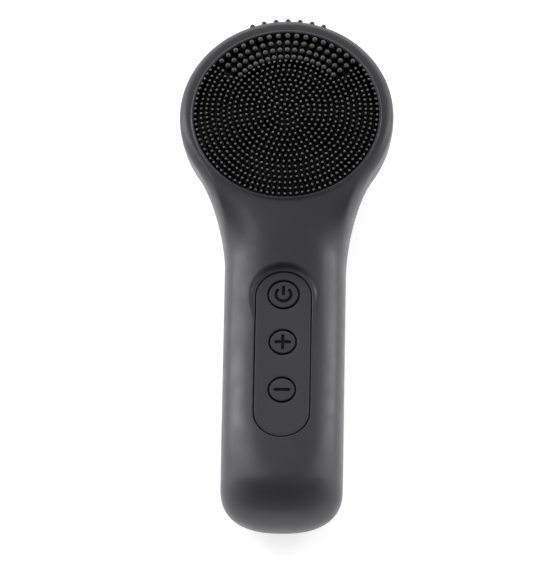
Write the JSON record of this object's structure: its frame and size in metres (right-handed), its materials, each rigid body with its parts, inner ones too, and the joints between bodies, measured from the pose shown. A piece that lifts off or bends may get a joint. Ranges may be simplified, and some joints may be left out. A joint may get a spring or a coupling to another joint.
{
  "type": "facial cleansing brush",
  "caption": "Hand-held facial cleansing brush with a round silicone bristle head, a soft sleeve over a sealed body, and push keys for power and strength.",
  "frame": {"origin": "on the surface that the back rests on, below the middle of the whole brush", "axes": "+Y along the handle towards the head, +Z out of the brush face, +X to the right as the face is seen"},
  "size_m": [0.0646, 0.163, 0.0358],
  "materials": {
    "sleeve_silicone": "satin",
    "brush_silicone": "satin",
    "keypad_silicone": "matt",
    "shell_plastic": "matt",
    "black_plastic": "matt",
    "white_plastic": "gloss",
    "red_plastic": "gloss",
    "steel": "satin",
    "gold_contact": "satin",
    "copper_winding": "gloss",
    "board_laminate": "satin",
    "cell_wrap": "gloss",
    "foam": "matt",
    "seal_rubber": "matt",
    "magnet": "matt",
    "lead_insulation": "satin",
    "led_lens": "gloss"
  },
  "bodies": {
    "root": {"silicone_sleeve": "sleeve_silicone", "brush_pad": "brush_silicone", "fine_bristles": "brush_silicone", "brush_backing_plate": "shell_plastic", "backing_screws": "steel", "brush_retaining_ring": "shell_plastic", "front_shell": "shell_plastic", "rear_shell": "shell_plastic", "shell_gasket": "seal_rubber", "shell_screws": "steel", "keypad_panel": "keypad_silicone", "power_switch": "black_plastic", "plus_switch": "black_plastic", "minus_switch": "black_plastic", "circuit_board": "board_laminate", "board_screws": "steel", "controller_chip": "black_plastic", "charge_chip": "black_plastic", "charge_led": "led_lens", "board_capacitors": "gold_contact", "board_resistors": "black_plastic", "battery_connector": "white_plastic", "battery_cell": "cell_wrap", "battery_cradle": "shell_plastic", "battery_tabs": "steel", "battery_foam": "foam", "motor_can": "steel", "motor_end_cap": "white_plastic", "motor_magnets": "magnet", "front_bushing": "gold_contact", "rear_bushing": "gold_contact", "motor_terminals": "gold_contact", "motor_cradle": "shell_plastic", "motor_clamp": "shell_plastic", "clamp_screws": "steel", "charge_jack_body": "black_plastic", "jack_contact": "gold_contact", "jack_seal": "red_plastic", "battery_leads": "lead_insulation", "motor_leads": "lead_insulation", "jack_leads": "lead_insulation"},
    "power_button": {"power_key": "keypad_silicone", "power_plunger": "shell_plastic", "power_stem": "red_plastic"},
    "plus_button": {"plus_key": "keypad_silicone", "plus_plunger": "shell_plastic", "plus_stem": "red_plastic"},
    "minus_button": {"minus_key": "keypad_silicone", "minus_plunger": "shell_plastic", "minus_stem": "red_plastic"},
    "rotor": {"motor_shaft": "steel", "rotor_core": "copper_winding", "commutator": "gold_contact", "eccentric_weight": "steel"}
  },
  "joints": [
    {"name": "power_press", "type": "slide", "parent": "root", "child": "power_button", "axis": [0, 0, -1], "range_m": [0, 0.00025], "stiffness_N_per_m": 800, "springref_m": -0.0005},
    {"name": "plus_press", "type": "slide", "parent": "root", "child": "plus_button", "axis": [0, 0, -1], "range_m": [0, 0.00025], "stiffness_N_per_m": 800, "springref_m": -0.0005},
    {"name": "minus_press", "type": "slide", "parent": "root", "child": "minus_button", "axis": [0, 0, -1], "range_m": [0, 0.00025], "stiffness_N_per_m": 800, "springref_m": -0.0005},
    {"name": "motor_spin", "type": "hinge", "parent": "root", "child": "rotor", "pos_m": [0, 0.0274, 0.013], "axis": [0, 1, 0], "continuous": true}
  ]
}
